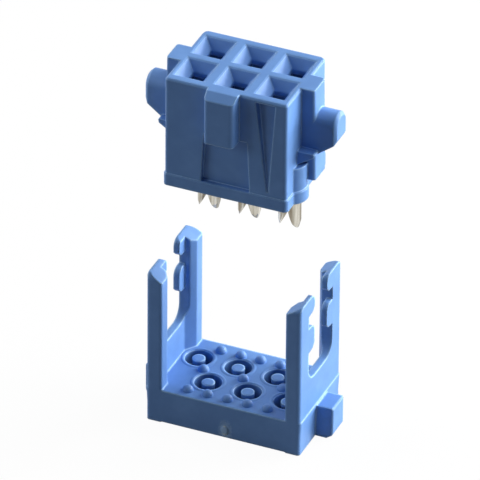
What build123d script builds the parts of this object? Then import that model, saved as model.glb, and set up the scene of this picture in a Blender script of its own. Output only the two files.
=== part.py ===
from build123d import *
import os

os.makedirs("parts", exist_ok=True)

# A six-way rectangular wire connector, shown taken apart along its closing axis.
# The wire cover stands on its flat foot and the socket housing is held above it, holding six contacts.
# Millimetres, +Z up, front towards -Y, origin at the middle of the cover's foot.

# Contact grid, shared by housing, contacts and cover
columns = 3
pitch = 5.0
row_pitch = 5.13
barrel_shift = 1.5
barrel_row_pitch = 4.18

# How far apart the two halves are shown, from the cover's floor to the housing's underside
shown_gap = 28.4

# Socket housing
housing_length = 15.1
housing_depth = 11.54
housing_height = 14.24
front_corner_radius = 0.4
rear_corner_radius = 0.7
rim_bevel = 0.22
flange_height = 1.55
flange_proud = 0.15

# Funnel mouths and the cavities under them
mouth_length = 3.85
mouth_width = 4.1
funnel_depth = 1.3
throat_length = 1.85
throat_width = 2.4
throat_depth = 0.6
mouth_bevel = 0.12

# Ribs, bosses and latch lobes on the two ends
rib_width = 3.2
rib_reach_top = 1.6
rib_reach_foot = 1.8
rib_foot = 2.3
rib_edge_radius = 0.35
boss_reach = 4.3
boss_root = 5.8
boss_lip = 7.7
boss_top = 11.1
boss_crown_radius = 1.5
boss_edge_bevel = 0.35
lobe_width = 5.5
lobe_reach = 2.15
lobe_root = 4.7
lobe_shoulder = 6.1
lobe_top = 6.5
lobe_edge_bevel = 0.15

# Round swells where the outermost barrels come through the ends
swell_wall = 0.55
swell_height = 4.6
swell_lip = 0.18

# Front face: key rail, recess under it and tapered groove beside it
rail_centre = -0.27
rail_width = 3.6
rail_reach = 1.6
rail_flare = 0.15
rail_foot = 7.8
rail_foot_rise = 0.27
rail_root = 0.6
rail_bevel_run = 1.15
rail_bevel_drop = 0.7
rail_edge_radius = 0.5
recess_depth = 0.5
recess_top = 8.1
recess_width_top = 5.3
recess_width_foot = 6.0
groove_depth = 0.75
groove_left = 3.62
groove_right = 6.1
groove_tip = 5.25
groove_tip_height = 2.1
groove_cover = 0.45

# Contacts, one stamped and rolled strip each
sheet = 0.3
receptacle_length = 1.9
receptacle_width = 3.2
receptacle_height = 7.6
seam_gap = 0.2
contact_clearance = 0.1
barrel_diameter = 2.66
barrel_reach = 4.05
barrel_rise = 3.2
barrel_taper = 0.22
barrel_taper_length = 0.9
wire_slot = 0.5
wire_slot_top = 0.9
wire_slot_foot = -1.2
neck_height = 1.6
neck_width = 1.2

# How the two halves close on each other
wire_space = 2.0
slide_clearance = 0.03
rib_clearance = 0.2

# Wire cover
cover_depth = 11.96
base_height = 4.4
base_step = 0.12
base_draft = 0.22
base_edge_radius = 0.45
arm_height = 20.1
arm_lead_in = 1.0
web_thickness = 0.95
tongue_thickness = 0.75
post_thickness = 1.92
web_half_width = 2.9
post_start = 4.3
slot_half_width = 3.5
slot_corner_radius = 1.9
arm_corner_radius = 0.9
post_outer_radius = 0.4
post_inner_radius = 0.25
hook_share = 0.313
bump_share = 0.449
tongue_head_share = 0.4346

# Wells for the barrels, wire nubs and end lugs in the cover
well_clearance = 0.33
well_depth = 3.7
post_clearance = 0.25
nub_diameter = 1.3
nub_crown = 0.6
nub_height = 0.6
nub_sides = 10
nub_front = -4.6
nub_rear = 4.4
nub_rear_shift = 0.35
lug_reach = 2.08
lug_width = 3.2
lug_offset = 0.38
lug_height = 4.15
lug_bevel = 0.8
lug_edge_bevel = 0.15
gate_diameter = 0.9
gate_proud = 0.1
gate_height = 1.1

# Worked out from the values above
housing_foot = base_height + shown_gap
housing_end = housing_length / 2
housing_front = housing_depth / 2
column_places = [(column - (columns - 1) / 2) * pitch for column in range(columns)]
receptacle_middle = row_pitch / 2
barrel_middle = barrel_row_pitch / 2
barrel_radius = barrel_diameter / 2
bore_radius = barrel_radius + contact_clearance
post_radius = barrel_radius - sheet - post_clearance
well_radius = barrel_radius + well_clearance
post_inner = housing_end + flange_proud + slide_clearance
arm_end = post_inner + post_thickness
cover_end = arm_end + base_step
cover_front = cover_depth / 2
closed_height = base_height + wire_space
slot_floor = closed_height + rib_foot
bump_foot = closed_height + lobe_top - 0.15
catch_room = arm_height - bump_foot
hook_foot = arm_height - hook_share * catch_room
bump_head = bump_foot + bump_share * catch_room
tongue_head_radius = tongue_head_share * (arm_height - hook_foot)
catch_nose = rib_width / 2 + rib_clearance
receptacle_foot = barrel_rise + 0.3 * neck_height


def both_rows(front_piece):
    """Return a front-row piece and its twin in the rear row, turned half round the upright axis."""
    return [front_piece, front_piece.rotate(Axis.Z, 180)]


def upright_edges(solid):
    """Edges of a solid that run along Z."""
    return solid.edges().filter_by(Axis.Z)


def end_slab(points, width):
    """Solid with an outline drawn in X and Z, as wide as given, centred on the XZ plane."""
    outline = make_face(Polyline(*[(x, 0, z) for x, z in points], close=True))
    return extrude(outline, amount=width / 2, dir=(0, 1, 0), both=True)


def both_ends(right_piece):
    """Return a right-hand piece and its mirror twin on the left end."""
    return right_piece + right_piece.mirror(Plane.YZ)


def rib():
    """Upright rib in the middle of the right end, with a little draft towards its foot."""
    solid = end_slab(
        [
            (housing_end - 0.5, rib_foot),
            (housing_end + rib_reach_foot, rib_foot),
            (housing_end + rib_reach_top, housing_height),
            (housing_end - 0.5, housing_height),
        ],
        rib_width,
    )
    middle = housing_end + 0.5 * rib_reach_top
    corners = [edge for edge in solid.edges() if edge.center().X > middle and abs(edge.center().Y) > 0.1]
    return fillet(corners, rib_edge_radius)


def boss():
    """Boss out of the right rib: sloping underside, crowned top, rounded outer end."""
    outer = housing_end + boss_reach
    solid = end_slab(
        [
            (housing_end - 0.5, boss_root),
            (housing_end + rib_reach_foot, boss_root),
            (outer, boss_lip),
            (outer, boss_top),
            (housing_end - 0.5, boss_top),
        ],
        rib_width,
    )
    crown = solid.edges().filter_by(Axis.X).group_by(Axis.Z)[-1]
    solid = fillet(crown, boss_crown_radius)
    outer_edges = [edge for edge in solid.edges() if edge.center().X > outer - 0.01]
    return chamfer(outer_edges, boss_edge_bevel)


def lobe():
    """Latch lobe across the right rib, below the boss: it snaps under the cover's bumps."""
    outer = housing_end + lobe_reach
    solid = end_slab(
        [
            (housing_end - 0.5, lobe_root),
            (housing_end, lobe_root),
            (outer, lobe_shoulder),
            (outer, lobe_top),
            (housing_end - 0.5, lobe_top),
        ],
        lobe_width,
    )
    outer_edges = [edge for edge in solid.edges() if edge.center().X > outer - 0.01]
    return chamfer(outer_edges, lobe_edge_bevel)


def swell():
    """Round swell of the wall and flange about the outermost barrel of the front row."""
    place = Pos(column_places[-1] + barrel_shift, -barrel_middle)
    radius = bore_radius + swell_wall
    column = extrude(place * Circle(radius), amount=swell_height)
    lip = extrude(place * Circle(radius + swell_lip), amount=flange_height)
    lip = chamfer(lip.edges().group_by(Axis.Z)[-1], 0.6 * swell_lip)
    return column + lip


def key_rail():
    """Raised key on the front face, bevelled down from the rim, with flanks that spread to the wall."""
    front = -housing_front - rail_reach
    root = -housing_front + rail_root
    side = make_face(
        Polyline(
            (0, root, rail_foot + rail_foot_rise),
            (0, front, rail_foot),
            (0, front, housing_height - rail_bevel_drop),
            (0, front + rail_bevel_run, housing_height),
            (0, root, housing_height),
            close=True,
        )
    )
    half_front = rail_width / 2
    half_root = half_front + rail_flare
    plan = make_face(
        Polyline(
            (-half_front, front),
            (half_front, front),
            (half_root, -housing_front),
            (half_root, root),
            (-half_root, root),
            (-half_root, -housing_front),
            close=True,
        )
    )
    solid = extrude(side, amount=half_root, dir=(1, 0, 0), both=True)
    solid = Pos(rail_centre) * (solid & extrude(plan, amount=housing_height))
    front_edges = [edge for edge in upright_edges(solid) if edge.center().Y < front + 0.01]
    return fillet(front_edges, rail_edge_radius)


def front_recess():
    """Shallow recess under the key rail, wider at its foot, as a solid to cut away."""
    outline = make_face(
        Polyline(
            (-recess_width_foot / 2, 0, flange_height),
            (recess_width_foot / 2, 0, flange_height),
            (recess_width_top / 2, 0, recess_top),
            (-recess_width_top / 2, 0, recess_top),
            close=True,
        )
    )
    cut = extrude(outline, amount=recess_depth + 1, dir=(0, 1, 0))
    return Pos(0, -housing_front - 1) * cut


def groove():
    """Groove beside the key rail that narrows to a point, as a solid to cut away."""
    head = housing_height - groove_cover
    face = -housing_front - 0.01
    wide = make_face(
        Polyline(
            (groove_left, face, head),
            (groove_left + 0.2, face + groove_depth, head),
            (groove_right - 0.1, face + groove_depth, head),
            (groove_right, face, head),
            close=True,
        )
    )
    narrow = make_face(
        Polyline(
            (groove_tip - 0.15, face, groove_tip_height),
            (groove_tip - 0.04, face + 0.15, groove_tip_height),
            (groove_tip + 0.04, face + 0.15, groove_tip_height),
            (groove_tip + 0.08, face, groove_tip_height),
            close=True,
        )
    )
    return loft([wide, narrow], ruled=True)


def cavity():
    """Funnel mouth, throat, receptacle cavity and barrel bore of one front-row way, to cut away."""
    funnel_floor = housing_height - funnel_depth
    cavity_top = funnel_floor - throat_depth
    mouth = Pos(0, -receptacle_middle, housing_height) * Rectangle(mouth_length, mouth_width)
    throat = Pos(0, -receptacle_middle, funnel_floor) * Rectangle(throat_length, throat_width)
    bevel = Pos(0, -receptacle_middle, housing_height + 0.01) * Rectangle(
        mouth_length + 2 * mouth_bevel, mouth_width + 2 * mouth_bevel
    )
    bevel_foot = Pos(0, -receptacle_middle, housing_height - mouth_bevel) * Rectangle(
        mouth_length - 0.1, mouth_width - 0.1
    )
    room = Pos(0, -receptacle_middle) * Rectangle(
        receptacle_length + 2 * contact_clearance, receptacle_width + 2 * contact_clearance
    )
    bore = Pos(barrel_shift, -barrel_middle) * Circle(bore_radius)
    funnel = loft([mouth, throat], ruled=True)
    neck = extrude(throat, amount=-throat_depth)
    return (
        funnel
        + loft([bevel, bevel_foot], ruled=True)
        + neck
        + extrude(room, amount=cavity_top)
        + extrude(bore, amount=receptacle_foot + 0.3 * neck_height + contact_clearance)
    )


def make_housing():
    """Moulded socket housing, with its underside at z = 0."""
    body = extrude(Rectangle(housing_length, housing_depth), amount=housing_height)
    rear = upright_edges(body).group_by(Axis.Y)[-1]
    body = fillet(rear, rear_corner_radius)
    front = upright_edges(body).group_by(Axis.Y)[0]
    body = fillet(front, front_corner_radius)
    body = chamfer(body.faces().sort_by(Axis.Z)[-1].outer_wire().edges(), rim_bevel)
    flange = extrude(
        RectangleRounded(
            housing_length + 2 * flange_proud, housing_depth + 2 * flange_proud, front_corner_radius + flange_proud
        ),
        amount=flange_height,
    )
    flange = chamfer(flange.edges().group_by(Axis.Z)[-1], 0.6 * flange_proud)
    solid = body + flange + both_ends(rib() + boss() + lobe())
    for piece in both_rows(swell()):
        solid += piece
    solid -= front_recess()
    solid += key_rail()
    solid -= groove()
    way = cavity()
    for column in column_places:
        for piece in both_rows(way):
            solid -= Pos(column) * piece
    return solid


def make_contact():
    """One front-row contact: tab receptacle above, neck, and split barrel below."""
    inner_face = -receptacle_middle + receptacle_width / 2
    outline = Pos(0, -receptacle_middle) * Rectangle(receptacle_length, receptacle_width)
    inside = Pos(0, -receptacle_middle) * Rectangle(receptacle_length - 2 * sheet, receptacle_width - 2 * sheet)
    seam = Pos(0, -receptacle_middle - receptacle_width / 2) * Rectangle(seam_gap, 2.5 * sheet)
    receptacle = Pos(0, 0, receptacle_foot) * extrude(outline - inside - seam, amount=receptacle_height)

    barrel_place = Pos(barrel_shift, -barrel_middle)
    wall_outline = make_face(
        Polyline(
            (barrel_radius - sheet, 0, -barrel_reach),
            (barrel_radius - barrel_taper, 0, -barrel_reach),
            (barrel_radius, 0, barrel_taper_length - barrel_reach),
            (barrel_radius, 0, barrel_rise),
            (barrel_radius - sheet, 0, barrel_rise),
            close=True,
        )
    )
    barrel = revolve(wall_outline, Axis.Z)

    # The slot spreads in a curve from the gap that bites the wire to the points of the two tines
    half_slot = wire_slot / 2
    tip = (barrel_radius - barrel_taper + 0.02, 0, -barrel_reach - 0.01)
    middle = (0.48 * barrel_radius, 0, -0.7 * barrel_reach)
    slot_half = make_face(
        Line((half_slot, 0, wire_slot_top), (half_slot, 0, wire_slot_foot))
        + ThreePointArc((half_slot, 0, wire_slot_foot), middle, tip)
        + Polyline(tip, (0, 0, tip[2]), (0, 0, wire_slot_top), (half_slot, 0, wire_slot_top))
    )
    slot = extrude(slot_half + slot_half.mirror(Plane.YZ), amount=barrel_diameter, dir=(0, 1, 0), both=True)
    barrel = barrel_place * (barrel - slot)

    neck_left = -receptacle_length / 2
    neck_right = barrel_shift + neck_width / 2
    neck = Box(
        neck_right - neck_left,
        sheet,
        neck_height,
        align=(Align.MIN, Align.MAX, Align.MAX),
    )
    neck = Pos(neck_left, inner_face, receptacle_foot + 0.3 * neck_height) * neck
    return receptacle + barrel + neck


def tongue(foot, head):
    """Catch on the outer side of the right wall's rear arm, rounded off towards its head."""
    inside = slot_half_width + 0.5
    face = make_face(
        Polyline(
            (arm_end, inside, foot - 0.1),
            (arm_end, catch_nose + 0.5, foot + 0.1),
            (arm_end, catch_nose, foot + 0.6),
            (arm_end, catch_nose, head),
            (arm_end, inside, head),
            close=True,
        )
    )
    nose_top = face.vertices().sort_by(Axis.Y)[:2].sort_by(Axis.Z)[-1]
    face = fillet(nose_top, tongue_head_radius)
    return extrude(face, amount=tongue_thickness, dir=(-1, 0, 0))


def wall_side():
    """Side view of the cover's wall: two arms with rounded heads and a slot with a round floor."""
    side = make_face(
        Polyline(
            (0, -cover_front, 0),
            (0, cover_front, 0),
            (0, cover_front, arm_height),
            (0, slot_half_width, arm_height),
            (0, slot_half_width, slot_floor),
            (0, -slot_half_width, slot_floor),
            (0, -slot_half_width, arm_height),
            (0, -cover_front, arm_height),
            close=True,
        )
    )
    upper = [vertex for vertex in side.vertices() if vertex.Z > slot_floor]
    heads = [vertex for vertex in upper if abs(vertex.Y) > slot_half_width + 0.1]
    side = fillet(heads, arm_corner_radius)
    floor = [vertex for vertex in side.vertices() if abs(vertex.Z - slot_floor) < 0.01]
    return fillet(floor, slot_corner_radius)


def wall_plan():
    """Plan of the cover's right wall: two posts joined by a thinner web on the outer side."""
    web_inner = arm_end - web_thickness
    half = make_face(
        Polyline(
            (arm_end, 0),
            (arm_end, cover_front),
            (post_inner, cover_front),
            (post_inner, post_start),
            (web_inner, web_half_width),
            (web_inner, 0),
            close=True,
        )
    )
    inner_corner = half.vertices().group_by(Axis.Y)[-1].sort_by(Axis.X)[0]
    half = fillet(inner_corner, post_inner_radius)
    outer_corner = half.vertices().group_by(Axis.Y)[-1].sort_by(Axis.X)[-1]
    half = fillet(outer_corner, post_outer_radius)
    return half + half.mirror(Plane.XZ)


def wall():
    """Right-hand wall of the cover, with hooks and bumps on its arms and a sloped lead-in at their tips."""
    solid = extrude(wall_plan(), amount=arm_height)
    solid &= Pos(post_inner - 1) * extrude(wall_side(), amount=post_thickness + 2, dir=(1, 0, 0))
    for catch in (tongue(hook_foot, arm_height), tongue(bump_foot, bump_head)):
        solid += catch + catch.mirror(Plane.XZ)
    lead_in = make_face(
        Polyline(
            (arm_end - 0.15, 0, arm_height + 0.01),
            (post_inner - 0.01, 0, arm_height - arm_lead_in),
            (post_inner - 0.01, 0, arm_height + 0.01),
            close=True,
        )
    )
    return solid - extrude(lead_in, amount=cover_depth, dir=(0, 1, 0), both=True)


def lug():
    """Square lug low on the right wall, bevelled at its outer foot."""
    outer = cover_end + lug_reach
    outline = make_face(
        Polyline(
            (cover_end - 0.5, 0, 0),
            (outer - lug_bevel, 0, 0),
            (outer, 0, 0.7 * lug_bevel),
            (outer, 0, lug_height),
            (cover_end - 0.5, 0, lug_height),
            close=True,
        )
    )
    solid = Pos(0, lug_offset) * extrude(outline, amount=lug_width / 2, dir=(0, 1, 0), both=True)
    outer_edges = [edge for edge in solid.edges() if edge.center().X > outer - 0.01]
    return chamfer(outer_edges, lug_edge_bevel)


def well():
    """Ring-shaped well for one front-row barrel, to cut away, round a post that stays."""
    ring = Circle(well_radius) - Circle(post_radius)
    return Pos(barrel_shift, -barrel_middle, base_height) * extrude(ring, amount=-well_depth)


def nub(x, y):
    """Low tapered nub with a small flat crown, that keeps two wires apart."""
    foot = Pos(x, y, base_height - 0.1) * RegularPolygon(nub_diameter / 2, nub_sides)
    crown = Pos(x, y, base_height + nub_height) * RegularPolygon(nub_crown / 2, nub_sides)
    return loft([foot, crown], ruled=True)


def make_cover():
    """Moulded wire cover, standing on its foot at z = 0."""
    base_foot = cover_end - base_draft
    base = end_slab(
        [(-base_foot, 0), (base_foot, 0), (cover_end, base_height), (-cover_end, base_height)],
        cover_depth,
    )
    corners = [edge for edge in base.edges() if abs(edge.center().Z - base_height / 2) < 0.1]
    base = fillet(corners, base_edge_radius)
    base = chamfer(base.edges().group_by(Axis.Z)[0], 0.3 * base_edge_radius)
    solid = base + both_ends(wall())
    solid += both_ends(lug())
    half_pitches = [0.5 * pitch * step for step in range(-columns + 1, columns)]
    for x in half_pitches:
        solid += nub(x, nub_front)
        solid += nub(x + nub_rear_shift, nub_rear)
    for x in column_places:
        solid += nub(x, 0)
    hole = well()
    for column in column_places:
        for piece in both_rows(hole):
            solid -= Pos(column) * piece
    gate = Pos(0.3, -cover_front, gate_height) * Rot(90) * extrude(Circle(gate_diameter / 2), amount=gate_proud)
    return solid + gate


housing = Pos(0, 0, housing_foot) * make_housing()
export_step(housing, "parts/housing.step")

contact = Pos(0, 0, housing_foot) * make_contact()
number = 1
for turned in both_rows(contact):
    for column in column_places:
        export_step(Pos(column) * turned, f"parts/contact_{number}.step")
        number += 1

export_step(make_cover(), "parts/cover.step")
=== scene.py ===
"""Dress a six-way wire connector, shown taken apart, and set it in a plain white studio.

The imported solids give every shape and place.  Each one is shown through a merged copy with softened
edges and a procedural finish.  Lengths are metres, or millimetres where a name ends in mm.  +Z is up
and the key rail faces -Y.
"""

import logging
import math
from dataclasses import dataclass, field
from enum import Enum

import bmesh
import bpy
from mathutils import Matrix, Vector, noise

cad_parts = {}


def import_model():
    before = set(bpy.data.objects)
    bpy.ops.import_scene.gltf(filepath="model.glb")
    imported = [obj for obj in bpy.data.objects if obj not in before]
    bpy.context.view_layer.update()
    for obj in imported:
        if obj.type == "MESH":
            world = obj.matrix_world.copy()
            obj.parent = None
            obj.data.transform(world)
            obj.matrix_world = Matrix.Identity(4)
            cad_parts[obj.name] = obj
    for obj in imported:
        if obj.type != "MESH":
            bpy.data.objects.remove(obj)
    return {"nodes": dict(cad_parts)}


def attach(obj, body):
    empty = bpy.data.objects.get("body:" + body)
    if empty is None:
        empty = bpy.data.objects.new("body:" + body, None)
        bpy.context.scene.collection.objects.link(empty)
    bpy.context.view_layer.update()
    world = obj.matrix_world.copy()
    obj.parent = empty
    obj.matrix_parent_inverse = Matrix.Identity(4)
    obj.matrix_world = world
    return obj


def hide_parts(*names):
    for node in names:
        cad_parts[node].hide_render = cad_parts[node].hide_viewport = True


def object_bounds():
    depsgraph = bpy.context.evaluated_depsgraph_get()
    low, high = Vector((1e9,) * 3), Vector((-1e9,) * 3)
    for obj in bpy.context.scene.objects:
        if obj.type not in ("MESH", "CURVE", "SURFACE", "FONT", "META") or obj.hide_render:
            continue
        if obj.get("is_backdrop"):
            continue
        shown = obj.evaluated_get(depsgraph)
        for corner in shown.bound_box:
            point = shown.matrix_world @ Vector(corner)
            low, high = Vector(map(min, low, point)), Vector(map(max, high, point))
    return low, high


MM = 0.001
# Middle of the place on the cover's front where the runner was torn off
GATE_MM = (0.3, -5.98, 1.0)
LOG = logging.getLogger("connector")


class Light(Enum):
    """The lamps of the studio: a wide low window on the right, a sheet above and two fills on the left."""

    BACK = "window_back"
    MIDDLE = "window_middle"
    SIDE = "window_side"
    HIGH = "window_high"
    TOP = "soft_top"
    LEFT = "fill_left"
    FRONT = "fill_front"


class Slot(Enum):
    """The material slots of the record."""

    PLASTIC = "blue_plastic"
    CONTACT = "tinned_contact"


def linear(colour: str) -> tuple[float, float, float, float]:
    """Turn an sRGB hex colour into linear RGBA.

    Args:
        colour: Six hex digits after a hash sign.

    Returns:
        Linear red, green, blue and an alpha of one.
    """
    channels = [int(colour[i : i + 2], 16) / 255 for i in (1, 3, 5)]
    turned = [c / 12.92 if c <= 0.04045 else ((c + 0.055) / 1.055) ** 2.4 for c in channels]
    return (*turned, 1.0)


def repeats(size_mm: float) -> float:
    """Turn the size of a pattern's features in millimetres into the scale of its noise."""
    return 1 / (size_mm * MM)


def towards(azimuth: float, elevation: float) -> Vector:
    """Give the direction from the part to a camera or a lamp.

    Args:
        azimuth: Degrees round from the front towards +X.
        elevation: Degrees above the horizon.

    Returns:
        A vector of length one.
    """
    turn, rise = math.radians(azimuth), math.radians(elevation)
    return Vector((math.sin(turn) * math.cos(rise), -math.cos(turn) * math.cos(rise), math.sin(rise)))


def add_node(tree: bpy.types.NodeTree, kind: str, settings: dict, inputs: dict) -> bpy.types.Node:
    """Add a node with its settings, its constants and the links into it.

    Args:
        tree: Node tree that takes the node.
        kind: Blender's name for the node type.
        settings: Node properties by name.
        inputs: Socket values by name or place; an output socket becomes a link.

    Returns:
        The new node.
    """
    node = tree.nodes.new(kind)
    for name, value in settings.items():
        setattr(node, name, value)
    for name, value in inputs.items():
        if isinstance(value, bpy.types.NodeSocket):
            tree.links.new(value, node.inputs[name])
        else:
            node.inputs[name].default_value = value
    return node


def set_stops(ramp: bpy.types.Node, stops: list[tuple[float, str]]) -> None:
    """Give a colour ramp its stops.

    Args:
        ramp: A Color Ramp node with its two default stops.
        stops: Places from 0 to 1 with their hex colours.
    """
    elements = ramp.color_ramp.elements
    while len(elements) < len(stops):
        elements.new(0.5)
    for element, (place, colour) in zip(elements, stops):
        element.position = place
        element.color = linear(colour)


@dataclass(frozen=True)
class MouldedPolyester:
    """Blue glass-filled PBT polyester, injection moulded in a finely eroded steel tool.

    The eye sees an even mid blue with a soft satin sheen, a very fine grain and faint lighter clouds where
    the melt flowed along the walls. The paler edges are a painted highlight of light caught by the rounded
    edges.

    Attributes:
        name: Name of the material.
        shade: Darker clouds.
        body: The plastic's own blue.
        bloom: Lighter clouds.
        edge_highlight: Colour of the painted highlight on the edges.
        crevice_shade: Colour of the painted shade deep in narrow hollows.
        whitened: Colour where tearing off the runner stressed the skin.
        roughness_low: Roughness where the grain is low.
        roughness_high: Roughness where the grain is high.
        ior: Index of refraction.
        specular: Level of the reflection.
        edge_mm: Radius over which an edge looks rounded.
        highlight_from: Agreement of the rounded and the flat normal where the painted highlight begins.
        highlight_full: Agreement where the painted highlight is at its full strength.
        highlight_strength: Share of the painted highlight colour on an edge.
        shade_reach_mm: Reach of the test that tells a recess from an open face, for the painted shade.
        shade_closed: Openness at which the painted shade has its full colour.
        shade_open: Openness at which the painted shade ends.
        gate_mm: Middle of the torn gate.
        bruise_mm: Reach of the stressed skin from the gate along each axis; zeros leave it out.
        bruise_strength: Share of the whitened colour at the gate.
        bruise_full: Distance, in shares of the reach, up to which the bruise is at full strength.
        bruise_end: Distance, in shares of the reach, at which it ends.
        fray_mm: Size of the ragged edge of the bruise.
        cloud_mm: Size of the clouds.
        cloud_stops: Places of the three blues between low and high noise.
        grain_mm: Size of the grain.
        grain_height_mm: Height of the grain.
        grain_range: Values of the noise between which the roughness changes.
        ripple_mm: Size of the faint waves.
        ripple_height_mm: Height of the waves.
    """

    name: str = "blue_pbt_moulded"
    shade: str = "#6490cf"
    body: str = "#6996d5"
    bloom: str = "#719edd"
    edge_highlight: str = "#a6d4ff"
    crevice_shade: str = "#182c58"
    whitened: str = "#b4d8ff"
    roughness_low: float = 0.40
    roughness_high: float = 0.56
    ior: float = 1.52
    specular: float = 0.3
    edge_mm: float = 0.3
    highlight_from: float = 0.985
    highlight_full: float = 0.84
    highlight_strength: float = 0.95
    shade_reach_mm: float = 2.2
    shade_closed: float = 0.12
    shade_open: float = 0.28
    gate_mm: tuple[float, float, float] = GATE_MM
    bruise_mm: tuple[float, float, float] = (0.0, 0.0, 0.0)
    bruise_strength: float = 0.8
    bruise_full: float = 0.7
    bruise_end: float = 1.5
    fray_mm: float = 0.3
    cloud_mm: float = 3.5
    cloud_stops: tuple[float, float, float] = (0.30, 0.52, 0.76)
    # The real grain is nearer 0.02 mm; it is drawn coarser so that it still shows in the picture
    grain_mm: float = 0.12
    grain_height_mm: float = 0.006
    grain_range: tuple[float, float] = (0.3, 0.7)
    ripple_mm: float = 1.3
    ripple_height_mm: float = 0.004

    def make(self) -> bpy.types.Material:
        """Build the material.

        Returns:
            The finished material.
        """
        material = bpy.data.materials.new(self.name)
        material.use_nodes = True
        tree = material.node_tree
        tree.nodes.clear()
        place = add_node(tree, "ShaderNodeTexCoord", {}, {}).outputs["Object"]
        grain = add_node(
            tree,
            "ShaderNodeTexNoise",
            {},
            {"Vector": place, "Scale": repeats(self.grain_mm), "Detail": 3.0, "Roughness": 0.55},
        )
        ripple = add_node(
            tree,
            "ShaderNodeTexNoise",
            {},
            {"Vector": place, "Scale": repeats(self.ripple_mm), "Detail": 2.0, "Roughness": 0.55},
        )
        rounded = add_node(tree, "ShaderNodeBevel", {"samples": 8}, {"Radius": self.edge_mm * MM})
        waves = add_node(
            tree,
            "ShaderNodeBump",
            {},
            {
                "Height": ripple.outputs["Fac"],
                "Distance": self.ripple_height_mm * MM,
                "Strength": 1.0,
                "Normal": rounded.outputs["Normal"],
            },
        )
        bump = add_node(
            tree,
            "ShaderNodeBump",
            {},
            {
                "Height": grain.outputs["Fac"],
                "Distance": self.grain_height_mm * MM,
                "Strength": 1.0,
                "Normal": waves.outputs["Normal"],
            },
        )
        sheen = add_node(
            tree,
            "ShaderNodeMapRange",
            {},
            {
                "Value": grain.outputs["Fac"],
                "From Min": self.grain_range[0],
                "From Max": self.grain_range[1],
                "To Min": self.roughness_low,
                "To Max": self.roughness_high,
            },
        )
        shader = add_node(
            tree,
            "ShaderNodeBsdfPrincipled",
            {},
            {
                "Base Color": self.colour(tree, place, rounded.outputs["Normal"]),
                "Roughness": sheen.outputs["Result"],
                "IOR": self.ior,
                "Specular IOR Level": self.specular,
                "Normal": bump.outputs["Normal"],
            },
        )
        add_node(tree, "ShaderNodeOutputMaterial", {}, {"Surface": shader.outputs["BSDF"]})
        return material

    def colour(
        self, tree: bpy.types.NodeTree, place: bpy.types.NodeSocket, rounded: bpy.types.NodeSocket
    ) -> bpy.types.NodeSocket:
        """Cloud the blue a little, paint a paler highlight along the edges and paint a darker shade into
        narrow hollows.

        Args:
            tree: Node tree that takes the nodes.
            place: Coordinates of the surface.
            rounded: Normal with the edges rounded.

        Returns:
            The surface colour.
        """
        clouds = add_node(
            tree,
            "ShaderNodeTexNoise",
            {},
            {"Vector": place, "Scale": repeats(self.cloud_mm), "Detail": 4.0, "Roughness": 0.55},
        )
        tint = add_node(tree, "ShaderNodeValToRGB", {}, {"Fac": clouds.outputs["Fac"]})
        set_stops(tint, list(zip(self.cloud_stops, (self.shade, self.body, self.bloom))))
        # Painted highlight: where the rounded normal leaves the flat one, the blue is mixed towards a
        # paler colour, as if rounded edges caught the light.
        true_normal = add_node(tree, "ShaderNodeNewGeometry", {}, {}).outputs["True Normal"]
        agreement = add_node(
            tree, "ShaderNodeVectorMath", {"operation": "DOT_PRODUCT"}, {0: rounded, 1: true_normal}
        )
        edge = add_node(
            tree,
            "ShaderNodeMapRange",
            {},
            {
                "Value": agreement.outputs["Value"],
                "From Min": self.highlight_from,
                "From Max": self.highlight_full,
                "To Min": 0.0,
                "To Max": self.highlight_strength,
            },
        )
        highlighted = add_node(
            tree,
            "ShaderNodeMix",
            {"data_type": "RGBA"},
            {"Factor": edge.outputs["Result"], "A": tint.outputs["Color"], "B": linear(self.edge_highlight)},
        )
        # Painted shade: narrow recesses found by ambient occlusion are mixed towards a dark blue, standing
        # in for the shade that falls there.
        reach = {"Distance": self.shade_reach_mm * MM}
        openness = add_node(tree, "ShaderNodeAmbientOcclusion", {"samples": 8}, reach)
        shade_mask = add_node(
            tree,
            "ShaderNodeMapRange",
            {},
            {
                "Value": openness.outputs["AO"],
                "From Min": self.shade_closed,
                "From Max": self.shade_open,
                "To Min": 1.0,
                "To Max": 0.0,
            },
        )
        shaded = add_node(
            tree,
            "ShaderNodeMix",
            {"data_type": "RGBA"},
            {"Factor": shade_mask.outputs["Result"], "A": highlighted.outputs["Result"], "B": linear(self.crevice_shade)},
        )
        if not any(self.bruise_mm):
            return shaded.outputs["Result"]
        bruised = add_node(
            tree,
            "ShaderNodeMix",
            {"data_type": "RGBA"},
            {
                "Factor": self.bruise(tree, place),
                "A": shaded.outputs["Result"],
                "B": linear(self.whitened),
            },
        )
        return bruised.outputs["Result"]

    def bruise(self, tree: bpy.types.NodeTree, place: bpy.types.NodeSocket) -> bpy.types.NodeSocket:
        """Find how far the moulding is stress-whitened round the torn gate.

        Args:
            tree: Node tree that takes the nodes.
            place: Coordinates of the surface.

        Returns:
            A factor that fades from the gate outwards.
        """
        gate = tuple(value * MM for value in self.gate_mm)
        reach = tuple(value * MM for value in self.bruise_mm)
        away = add_node(tree, "ShaderNodeVectorMath", {"operation": "SUBTRACT"}, {0: place, 1: gate})
        share = add_node(
            tree, "ShaderNodeVectorMath", {"operation": "DIVIDE"}, {0: away.outputs["Vector"], 1: reach}
        )
        far = add_node(tree, "ShaderNodeVectorMath", {"operation": "LENGTH"}, {0: share.outputs["Vector"]})
        fray = add_node(
            tree,
            "ShaderNodeTexNoise",
            {},
            {"Vector": place, "Scale": repeats(self.fray_mm), "Detail": 3.0, "Roughness": 0.55},
        )
        frayed = add_node(
            tree, "ShaderNodeMath", {"operation": "ADD"}, {0: far.outputs["Value"], 1: fray.outputs["Fac"]}
        )
        fade = add_node(
            tree,
            "ShaderNodeMapRange",
            {},
            {
                "Value": frayed.outputs["Value"],
                "From Min": self.bruise_full,
                "From Max": self.bruise_end,
                "To Min": self.bruise_strength,
                "To Max": 0.0,
            },
        )
        return fade.outputs["Result"]


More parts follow.
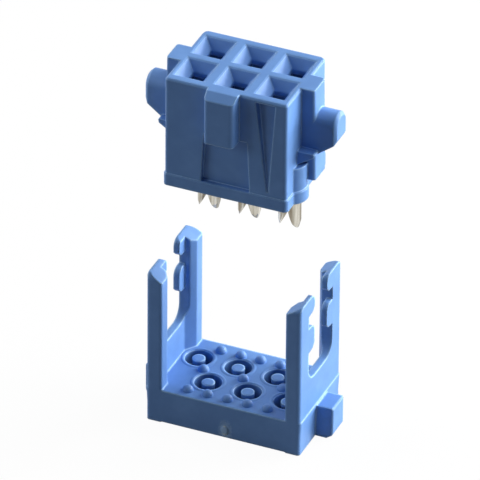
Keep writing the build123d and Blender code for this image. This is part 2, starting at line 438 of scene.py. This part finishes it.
@dataclass(frozen=True)
class TornGate:
    """The same polyester where the runner was torn off at the gate.

    The eye sees a small rough patch, stress-whitened and much paler than the moulded skin.

    Attributes:
        name: Name of the material.
        whitened: Colour of the raised fibres.
        stained: Colour between them.
        stops: Places of the two colours between low and high noise.
        roughness: Roughness of the torn face.
        ior: Index of refraction.
        tear_mm: Size of the torn fibres.
        tear_height_mm: Height of the torn fibres.
    """

    name: str = "blue_pbt_torn_gate"
    whitened: str = "#e4f4ff"
    stained: str = "#bcd8f0"
    stops: tuple[float, float] = (0.42, 0.62)
    roughness: float = 0.8
    ior: float = 1.52
    tear_mm: float = 0.22
    tear_height_mm: float = 0.03

    def make(self) -> bpy.types.Material:
        """Build the material.

        Returns:
            The finished material.
        """
        material = bpy.data.materials.new(self.name)
        material.use_nodes = True
        tree = material.node_tree
        tree.nodes.clear()
        place = add_node(tree, "ShaderNodeTexCoord", {}, {}).outputs["Object"]
        tear = add_node(
            tree,
            "ShaderNodeTexNoise",
            {},
            {"Vector": place, "Scale": repeats(self.tear_mm), "Detail": 4.0, "Roughness": 0.55},
        )
        tint = add_node(tree, "ShaderNodeValToRGB", {}, {"Fac": tear.outputs["Fac"]})
        set_stops(tint, list(zip(self.stops, (self.stained, self.whitened))))
        bump = add_node(
            tree,
            "ShaderNodeBump",
            {},
            {"Height": tear.outputs["Fac"], "Distance": self.tear_height_mm * MM, "Strength": 1.0},
        )
        shader = add_node(
            tree,
            "ShaderNodeBsdfPrincipled",
            {},
            {
                "Base Color": tint.outputs["Color"],
                "Roughness": self.roughness,
                "IOR": self.ior,
                "Normal": bump.outputs["Normal"],
            },
        )
        add_node(tree, "ShaderNodeOutputMaterial", {}, {"Surface": shader.outputs["BSDF"]})
        return material


@dataclass(frozen=True)
class TinPlate:
    """Matt electroplated tin over a rolled and stamped copper alloy strip.

    The eye sees a warm grey metal with fine lines along the rolling direction and slightly darker
    patches where the tin has dulled.

    Attributes:
        name: Name of the material.
        bright: Colour of fresh tin.
        plain: Colour of most of it.
        dull: Colour of the dulled patches.
        stops: Places of the dull, plain and bright colours between low and high noise.
        roughness_low: Roughness between the rolling lines.
        roughness_high: Roughness on them.
        line_mm: Distance of the rolling lines.
        line_stretch: Their width as a share of their length.
        line_height_mm: Height of the lines.
        line_range: Values of the noise between which the roughness changes.
        patch_mm: Width of the dulled patches.
        edge_mm: Radius over which an edge looks rounded.
    """

    name: str = "tin_plated_strip"
    bright: str = "#e2ded3"
    plain: str = "#b4afa1"
    dull: str = "#827766"
    stops: tuple[float, float, float] = (0.36, 0.50, 0.64)
    roughness_low: float = 0.22
    roughness_high: float = 0.38
    # Rolling lines are nearer 0.01 mm apart; they are drawn coarser so that they still show
    line_mm: float = 0.07
    line_stretch: float = 0.06
    line_height_mm: float = 0.002
    line_range: tuple[float, float] = (0.3, 0.7)
    patch_mm: float = 0.8
    edge_mm: float = 0.06

    def make(self) -> bpy.types.Material:
        """Build the material.

        Returns:
            The finished material.
        """
        material = bpy.data.materials.new(self.name)
        material.use_nodes = True
        tree = material.node_tree
        tree.nodes.clear()
        place = add_node(tree, "ShaderNodeTexCoord", {}, {}).outputs["Object"]
        along = add_node(
            tree, "ShaderNodeMapping", {}, {"Vector": place, "Scale": (1.0, 1.0, self.line_stretch)}
        )
        lines = add_node(
            tree,
            "ShaderNodeTexNoise",
            {},
            {"Vector": along.outputs["Vector"], "Scale": repeats(self.line_mm), "Detail": 2.0},
        )
        streaks = add_node(
            tree,
            "ShaderNodeTexNoise",
            {},
            {"Vector": along.outputs["Vector"], "Scale": repeats(self.patch_mm), "Detail": 3.0},
        )
        tint = add_node(tree, "ShaderNodeValToRGB", {}, {"Fac": streaks.outputs["Fac"]})
        set_stops(tint, list(zip(self.stops, (self.dull, self.plain, self.bright))))
        sheen = add_node(
            tree,
            "ShaderNodeMapRange",
            {},
            {
                "Value": lines.outputs["Fac"],
                "From Min": self.line_range[0],
                "From Max": self.line_range[1],
                "To Min": self.roughness_low,
                "To Max": self.roughness_high,
            },
        )
        rounded = add_node(tree, "ShaderNodeBevel", {"samples": 6}, {"Radius": self.edge_mm * MM})
        bump = add_node(
            tree,
            "ShaderNodeBump",
            {},
            {
                "Height": lines.outputs["Fac"],
                "Distance": self.line_height_mm * MM,
                "Strength": 1.0,
                "Normal": rounded.outputs["Normal"],
            },
        )
        shader = add_node(
            tree,
            "ShaderNodeBsdfPrincipled",
            {},
            {
                "Base Color": tint.outputs["Color"],
                "Metallic": 1.0,
                "Roughness": sheen.outputs["Result"],
                "Normal": bump.outputs["Normal"],
            },
        )
        add_node(tree, "ShaderNodeOutputMaterial", {}, {"Surface": shader.outputs["BSDF"]})
        return material


@dataclass
class DressedSolid:
    """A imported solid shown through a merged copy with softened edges.

    Attributes:
        node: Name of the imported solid.
        material: Finish of the copy.
        slot: Material slot of the record.
        edge_mm: Radius of the softened edges.
        edge_angle: Edges sharper than this many degrees are softened.
        segments: Steps across a softened edge.
        merge_mm: Points nearer than this are one point.
        flat_angle: Faces that differ by fewer degrees become one face.
    """

    node: str
    material: bpy.types.Material
    slot: Slot
    edge_mm: float = 0.09
    edge_angle: float = 32.0
    segments: int = 3
    merge_mm: float = 0.0005
    flat_angle: float = 0.4

    def build(self, nodes: dict[str, bpy.types.Object]) -> bpy.types.Object:
        """Show the solid through its dressed copy.

        Args:
            nodes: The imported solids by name.

        Returns:
            The piece that stands for the solid.
        """
        mesh = self.merged_copy(nodes[self.node].data)
        piece = self.place(mesh, self.material, self.slot)
        self.soften(piece)
        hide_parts(self.node)
        return piece

    def merged_copy(self, source: bpy.types.Mesh) -> bpy.types.Mesh:
        """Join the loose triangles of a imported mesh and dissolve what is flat.

        Args:
            source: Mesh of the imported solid, which stays as it is.

        Returns:
            The merged mesh with smooth faces and sharp edges.
        """
        shape = bmesh.new()
        shape.from_mesh(source)
        bmesh.ops.remove_doubles(shape, verts=shape.verts, dist=self.merge_mm * MM)
        bmesh.ops.dissolve_limit(
            shape,
            angle_limit=math.radians(self.flat_angle),
            verts=shape.verts,
            edges=shape.edges,
            use_dissolve_boundaries=False,
        )
        mesh = bpy.data.meshes.new(f"{self.node}_dressed")
        shape.to_mesh(mesh)
        shape.free()
        mesh.shade_smooth()
        mesh.set_sharp_from_angle(angle=math.radians(self.edge_angle))
        return mesh

    @staticmethod
    def place(mesh: bpy.types.Mesh, material: bpy.types.Material, slot: Slot) -> bpy.types.Object:
        """Turn a finished mesh into a piece that rides on the part.

        Args:
            mesh: The mesh, already where it belongs.
            material: Its finish.
            slot: Material slot of the record; not used.

        Returns:
            The piece.
        """
        mesh.materials.append(material)
        piece = bpy.data.objects.new(mesh.name, mesh)
        bpy.context.scene.collection.objects.link(piece)
        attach(piece, "root")
        return piece

    def soften(self, piece: bpy.types.Object) -> None:
        """Round the sharp edges as a tool or a press leaves them.

        Args:
            piece: The merged copy.
        """
        bevel = piece.modifiers.new("softened_edges", "BEVEL")
        bevel.width = self.edge_mm * MM
        bevel.segments = self.segments
        bevel.limit_method = "ANGLE"
        bevel.angle_limit = math.radians(self.edge_angle)
        bevel.harden_normals = True
        bevel.use_clamp_overlap = True
        normals = piece.modifiers.new("even_normals", "WEIGHTED_NORMAL")
        normals.keep_sharp = True


@dataclass
class TabContact(DressedSolid):
    """A stamped and rolled contact: tab receptacle above, split barrel below."""

    edge_mm: float = 0.04
    segments: int = 2


@dataclass
class SocketHousing(DressedSolid):
    """The moulded socket housing with its funnel mouths, ribs, bosses, lobes and key rail."""

    edge_mm: float = 0.12


@dataclass
class WireCover(DressedSolid):
    """The moulded wire cover, with round-headed nubs, lipped wells and a torn gate in front.

    Attributes:
        crisp: Finish of the nubs and the wells' lips.
        torn: Finish of the torn gate.
        floor_mm: Height of the cover's floor, on which the nubs stand.
        pitch_mm: Distance between neighbouring columns.
        front_mm: Place of the front row of nubs along Y.
        rear_mm: Place of the rear row of nubs along Y.
        rear_shift_mm: Sideways shift of the rear row.
        nub_radius_mm: Radius of a nub's round head.
        nub_rises: First, last and step of the angles up its outline, in degrees over the floor.
        nub_steps: Steps round a nub.
        well_shift_mm: Sideways shift of the wells from the columns, to the right in the front row.
        well_row_mm: Distance of the well rows from the middle.
        well_radius_mm: Radius of a well.
        lip_profile_mm: Outline of a well's lip: reach past the well and height over the floor.
        lip_steps: Steps round a lip.
        gate_mm: Middle of the torn gate.
        gate_half_mm: Half of the torn gate's width, thickness and height.
        gate_fineness: How often the faces of the gate's round body are divided.
        tear_size_mm: Size of the lumps that the tear left.
        tear_share: How far a lump stands out, as a share of the body.
    """

    crisp: bpy.types.Material | None = None
    torn: bpy.types.Material | None = None
    floor_mm: float = 4.4
    pitch_mm: float = 5.0
    front_mm: float = -4.6
    rear_mm: float = 4.4
    rear_shift_mm: float = 0.35
    nub_radius_mm: float = 0.68
    nub_rises: tuple[int, int, int] = (-12, 90, 17)
    nub_steps: int = 28
    well_shift_mm: float = 1.5
    well_row_mm: float = 2.09
    well_radius_mm: float = 1.66
    lip_profile_mm: tuple[tuple[float, float], ...] = (
        (0.0, -0.15),
        (0.05, 0.01),
        (0.15, 0.07),
        (0.27, 0.08),
        (0.40, 0.03),
        (0.52, -0.03),
    )
    lip_steps: int = 64
    gate_mm: tuple[float, float, float] = GATE_MM
    gate_half_mm: tuple[float, float, float] = (0.36, 0.08, 0.66)
    gate_fineness: int = 5
    tear_size_mm: float = 0.45
    tear_share: float = 0.3

    def build(self, nodes: dict[str, bpy.types.Object]) -> bpy.types.Object:
        """Dress the cover and set its nubs, its wells' lips and its torn gate on it.

        Args:
            nodes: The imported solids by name.

        Returns:
            The piece that stands for the solid.
        """
        cover = super().build(nodes)
        self.nubs()
        self.lips()
        self.gate()
        return cover

    def nub_places(self) -> list[tuple[float, float]]:
        """Give the middle of each nub in millimetres.

        Returns:
            Places along X and Y.
        """
        columns = [-self.pitch_mm, 0.0, self.pitch_mm]
        halves = [0.5 * self.pitch_mm * step for step in range(-2, 3)]
        places = [(x, 0.0) for x in columns]
        places += [(x, self.front_mm) for x in halves]
        places += [(x + self.rear_shift_mm, self.rear_mm) for x in halves]
        return places

    def turned(
        self,
        name: str,
        places: list[tuple[float, float]],
        outline_mm: list[tuple[float, float]],
        steps: int,
    ) -> bpy.types.Object:
        """Turn the same outline round several upright axes on the floor.

        Args:
            name: Name of the piece.
            places: Places of the axes along X and Y in millimetres.
            outline_mm: Radius and height of the outline's points.
            steps: Steps round each axis.

        Returns:
            All turned forms as one piece.
        """
        shape = bmesh.new()
        for x, y in places:
            middle = Vector((x, y, self.floor_mm)) * MM
            points = [middle + Vector((radius, 0, height)) * MM for radius, height in outline_mm]
            verts = [shape.verts.new(point) for point in points]
            edges = [shape.edges.new(pair) for pair in zip(verts, verts[1:])]
            bmesh.ops.spin(
                shape,
                geom=verts + edges,
                cent=middle,
                axis=(0, 0, 1),
                angle=math.tau,
                steps=steps,
                use_merge=True,
            )
        bmesh.ops.remove_doubles(shape, verts=shape.verts, dist=self.merge_mm * MM)
        bmesh.ops.recalc_face_normals(shape, faces=shape.faces)
        mesh = bpy.data.meshes.new(name)
        shape.to_mesh(mesh)
        shape.free()
        mesh.shade_smooth()
        return self.place(mesh, self.crisp, self.slot)

    def nubs(self) -> bpy.types.Object:
        """Turn round-headed nubs over the tapered ones of the solid.

        Returns:
            All nubs as one piece.
        """
        first, last, step = self.nub_rises
        rises = [math.radians(angle) for angle in range(first, last + 1, step)]
        reach = self.nub_radius_mm
        outline = [(reach * math.cos(rise), reach * math.sin(rise)) for rise in rises]
        return self.turned("wire_nubs", self.nub_places(), outline, self.nub_steps)

    def lips(self) -> bpy.types.Object:
        """Turn the low rounded lip that the moulding has round each well.

        Returns:
            All lips as one piece.
        """
        columns = [-self.pitch_mm, 0.0, self.pitch_mm]
        places = [(x + self.well_shift_mm, -self.well_row_mm) for x in columns]
        places += [(x - self.well_shift_mm, self.well_row_mm) for x in columns]
        outline = [(self.well_radius_mm + reach, height) for reach, height in self.lip_profile_mm]
        return self.turned("well_lips", places, outline, self.lip_steps)

    def gate(self) -> bpy.types.Object:
        """Leave a small rough lump where the runner was torn off.

        Returns:
            The lump.
        """
        shape = bmesh.new()
        bmesh.ops.create_icosphere(shape, subdivisions=self.gate_fineness, radius=1.0)
        half = Vector(self.gate_half_mm)
        for vert in shape.verts:
            lump = noise.noise(vert.co * half / self.tear_size_mm)
            vert.co *= 1 + self.tear_share * lump
        bmesh.ops.scale(shape, verts=shape.verts, vec=half * MM)
        bmesh.ops.translate(shape, verts=shape.verts, vec=Vector(self.gate_mm) * MM)
        mesh = bpy.data.meshes.new("torn_gate")
        shape.to_mesh(mesh)
        shape.free()
        mesh.shade_smooth()
        return self.place(mesh, self.torn, self.slot)


@dataclass(frozen=True)
class PhotoCamera:
    """The camera, fitted to the outlines and edges of both mouldings in the photograph.

    Attributes:
        focal_px: Focal length in pixels of a 480 pixel wide picture.
        azimuth: Degrees round from the front towards +X.
        elevation: Degrees above the horizon.
        roll: Degrees that the picture is turned.
        aside_mm: Sideways and upward place of the aim in the view.
        distance_mm: Distance to the housing's foot along the view.
        aim_height_mm: Height of the housing's foot above the cover's foot.
        picture_px: Width of the picture.
        sensor_mm: Width of the sensor.
        seen_m: Nearest and furthest distance that the camera sees.
    """

    focal_px: float = 8918.3
    azimuth: float = 22.96
    elevation: float = 32.95
    roll: float = 0.487
    aside_mm: tuple[float, float] = (0.556, 7.655)
    distance_mm: float = 1019.8
    aim_height_mm: float = 32.83
    picture_px: float = 480.0
    sensor_mm: float = 36.0
    seen_m: tuple[float, float] = (0.01, 10.0)

    def build(self) -> bpy.types.Object:
        """Place the camera and make it the scene's own.

        Returns:
            The camera object.
        """
        roll = math.radians(self.roll)
        back = towards(self.azimuth, self.elevation)
        level = (-back).cross(Vector((0, 0, 1))).normalized()
        upright = level.cross(-back)
        right = math.cos(roll) * level + math.sin(roll) * upright
        up = -math.sin(roll) * level + math.cos(roll) * upright
        aim = Vector((0, 0, self.aim_height_mm))
        place = aim - self.aside_mm[0] * right - self.aside_mm[1] * up + self.distance_mm * back
        data = bpy.data.cameras.new("photo_camera")
        data.sensor_width = self.sensor_mm
        data.lens = self.focal_px / self.picture_px * self.sensor_mm
        data.clip_start, data.clip_end = self.seen_m
        camera = bpy.data.objects.new("photo_camera", data)
        bpy.context.scene.collection.objects.link(camera)
        axes = Matrix((right, up, back)).transposed().to_4x4()
        camera.matrix_world = Matrix.Translation(place * MM) @ axes
        bpy.context.scene.camera = camera
        return camera


@dataclass(frozen=True)
class Softbox:
    """One square softbox that faces the part.

    Attributes:
        azimuth: Degrees round from the front towards +X.
        elevation: Degrees above the horizon.
        power: Strength in watts.
        size: Side of the box in metres.
        distance: Distance from the part's middle in metres.
    """

    azimuth: float
    elevation: float
    power: float
    size: float = 0.12
    distance: float = 0.32


@dataclass
class Studio:
    """White floor and soft lamps; the window is on the right and behind, so the front stays in shade.

    Attributes:
        centre: Middle of the part, in metres.
        ambient: Colour of the world's light.
        lamps: The softboxes.
        floor_size: Side of the floor in metres.
        floor_drop: Gap under the part that keeps the floor clear of its foot.
        paper_dim: Colour of the paper as it lights the part.
        paper_matt: Colour of the paper as the camera sees it.
        paper_glow: Share of the paper's white that doesn't take the shadow.
    """

    centre: Vector
    ambient: str = "#0c0d10"
    lamps: dict[Light, Softbox] = field(
        default_factory=lambda: {
            Light.BACK: Softbox(azimuth=150.0, elevation=12.0, power=0.70),
            Light.MIDDLE: Softbox(azimuth=125.0, elevation=10.0, power=0.68),
            Light.SIDE: Softbox(azimuth=100.0, elevation=9.0, power=0.42),
            Light.HIGH: Softbox(azimuth=130.0, elevation=38.0, power=0.50, size=0.14),
            Light.TOP: Softbox(azimuth=120.0, elevation=70.0, power=0.095, distance=0.22),
            Light.LEFT: Softbox(azimuth=-100.0, elevation=30.0, power=0.45, size=0.16),
            Light.FRONT: Softbox(azimuth=-60.0, elevation=20.0, power=0.24, size=0.16),
        }
    )
    floor_size: float = 1.2
    floor_drop: float = 0.00002
    paper_dim: str = "#767676"
    paper_matt: str = "#f2f2f2"
    paper_glow: float = 0.96

    def build(self) -> None:
        """Set up the world, the floor and the lamps."""
        self.world()
        self.floor()
        for light, softbox in self.lamps.items():
            self.hang(light, softbox)
        bpy.context.scene.view_settings.view_transform = "Standard"

    def world(self) -> None:
        """Even ambient light, with plain white where the camera, gloss or glass looks past the floor."""
        world = bpy.data.worlds.new("studio")
        bpy.context.scene.world = world
        world.use_nodes = True
        tree = world.node_tree
        tree.nodes.clear()
        soft = add_node(tree, "ShaderNodeBackground", {}, {"Color": linear(self.ambient), "Strength": 1.0})
        white = add_node(tree, "ShaderNodeBackground", {}, {"Color": (1, 1, 1, 1), "Strength": 1.0})
        mix = add_node(
            tree,
            "ShaderNodeMixShader",
            {},
            {
                "Fac": self.seen_directly(tree),
                1: soft.outputs["Background"],
                2: white.outputs["Background"],
            },
        )
        add_node(tree, "ShaderNodeOutputWorld", {}, {"Surface": mix.outputs["Shader"]})

    @staticmethod
    def seen_directly(tree: bpy.types.NodeTree) -> bpy.types.NodeSocket:
        """Give a value of one for rays from the camera, from gloss and through glass.

        Args:
            tree: Node tree that takes the nodes.

        Returns:
            The socket with the value.
        """
        path = add_node(tree, "ShaderNodeLightPath", {}, {})
        first = add_node(
            tree,
            "ShaderNodeMath",
            {"operation": "MAXIMUM"},
            {0: path.outputs["Is Camera Ray"], 1: path.outputs["Is Transmission Ray"]},
        )
        second = add_node(
            tree,
            "ShaderNodeMath",
            {"operation": "MAXIMUM"},
            {0: first.outputs["Value"], 1: path.outputs["Is Glossy Ray"]},
        )
        return second.outputs["Value"]

    def floor(self) -> None:
        """A wide white sheet under the part that keeps a faint shadow."""
        shape = bmesh.new()
        bmesh.ops.create_grid(shape, x_segments=1, y_segments=1, size=self.floor_size / 2)
        bmesh.ops.translate(shape, verts=shape.verts, vec=(0, 0, -self.floor_drop))
        mesh = bpy.data.meshes.new("paper_floor")
        shape.to_mesh(mesh)
        shape.free()
        mesh.materials.append(self.paper())
        floor = bpy.data.objects.new("paper_floor", mesh)
        bpy.context.scene.collection.objects.link(floor)
        floor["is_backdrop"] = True

    def paper(self) -> bpy.types.Material:
        """Matt white studio paper that the camera sees close to pure white.

        Returns:
            The finished material.
        """
        material = bpy.data.materials.new("white_studio_paper")
        material.use_nodes = True
        tree = material.node_tree
        tree.nodes.clear()
        dim = add_node(tree, "ShaderNodeBsdfDiffuse", {}, {"Color": linear(self.paper_dim)})
        matt = add_node(tree, "ShaderNodeBsdfDiffuse", {}, {"Color": linear(self.paper_matt)})
        glow = add_node(tree, "ShaderNodeEmission", {}, {"Color": (1, 1, 1, 1), "Strength": 1.0})
        white = add_node(
            tree,
            "ShaderNodeMixShader",
            {},
            {"Fac": self.paper_glow, 1: matt.outputs["BSDF"], 2: glow.outputs["Emission"]},
        )
        mix = add_node(
            tree,
            "ShaderNodeMixShader",
            {},
            {"Fac": self.seen_directly(tree), 1: dim.outputs["BSDF"], 2: white.outputs["Shader"]},
        )
        add_node(tree, "ShaderNodeOutputMaterial", {}, {"Surface": mix.outputs["Shader"]})
        return material

    def hang(self, light: Light, softbox: Softbox) -> None:
        """Hang one softbox and turn it to the part's middle.

        Args:
            light: Which lamp it is.
            softbox: Its place, size and strength.
        """
        back = towards(softbox.azimuth, softbox.elevation)
        data = bpy.data.lights.new(light.value, "AREA")
        data.shape = "SQUARE"
        data.size = softbox.size
        data.energy = softbox.power
        lamp = bpy.data.objects.new(light.value, data)
        bpy.context.scene.collection.objects.link(lamp)
        lamp.location = self.centre + back * softbox.distance
        lamp.rotation_euler = (-back).to_track_quat("-Z", "Y").to_euler()


def main() -> None:
    """Build the dressed connector, the camera and the studio."""
    logging.basicConfig(level=logging.INFO, format="%(message)s")
    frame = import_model()
    solid_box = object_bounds()
    PhotoCamera().build()
    Studio(centre=(solid_box[0] + solid_box[1]) / 2).build()
    plastic = MouldedPolyester().make()
    soft_plastic = MouldedPolyester(
        name="blue_pbt_moulded_soft_edges", edge_mm=0.42, bruise_mm=(0.95, 1.5, 1.7)
    ).make()
    tin = TinPlate().make()
    parts: list[DressedSolid] = [
        SocketHousing("housing", plastic, Slot.PLASTIC),
        WireCover("cover", soft_plastic, Slot.PLASTIC, crisp=plastic, torn=TornGate().make()),
    ]
    contacts = sorted(node for node in frame["nodes"] if node.startswith("contact"))
    parts += [TabContact(node, tin, Slot.CONTACT) for node in contacts]
    for part in parts:
        piece = part.build(frame["nodes"])
        LOG.info("%s: %d faces", piece.name, len(piece.data.polygons))


if __name__ == "__main__":
    main()
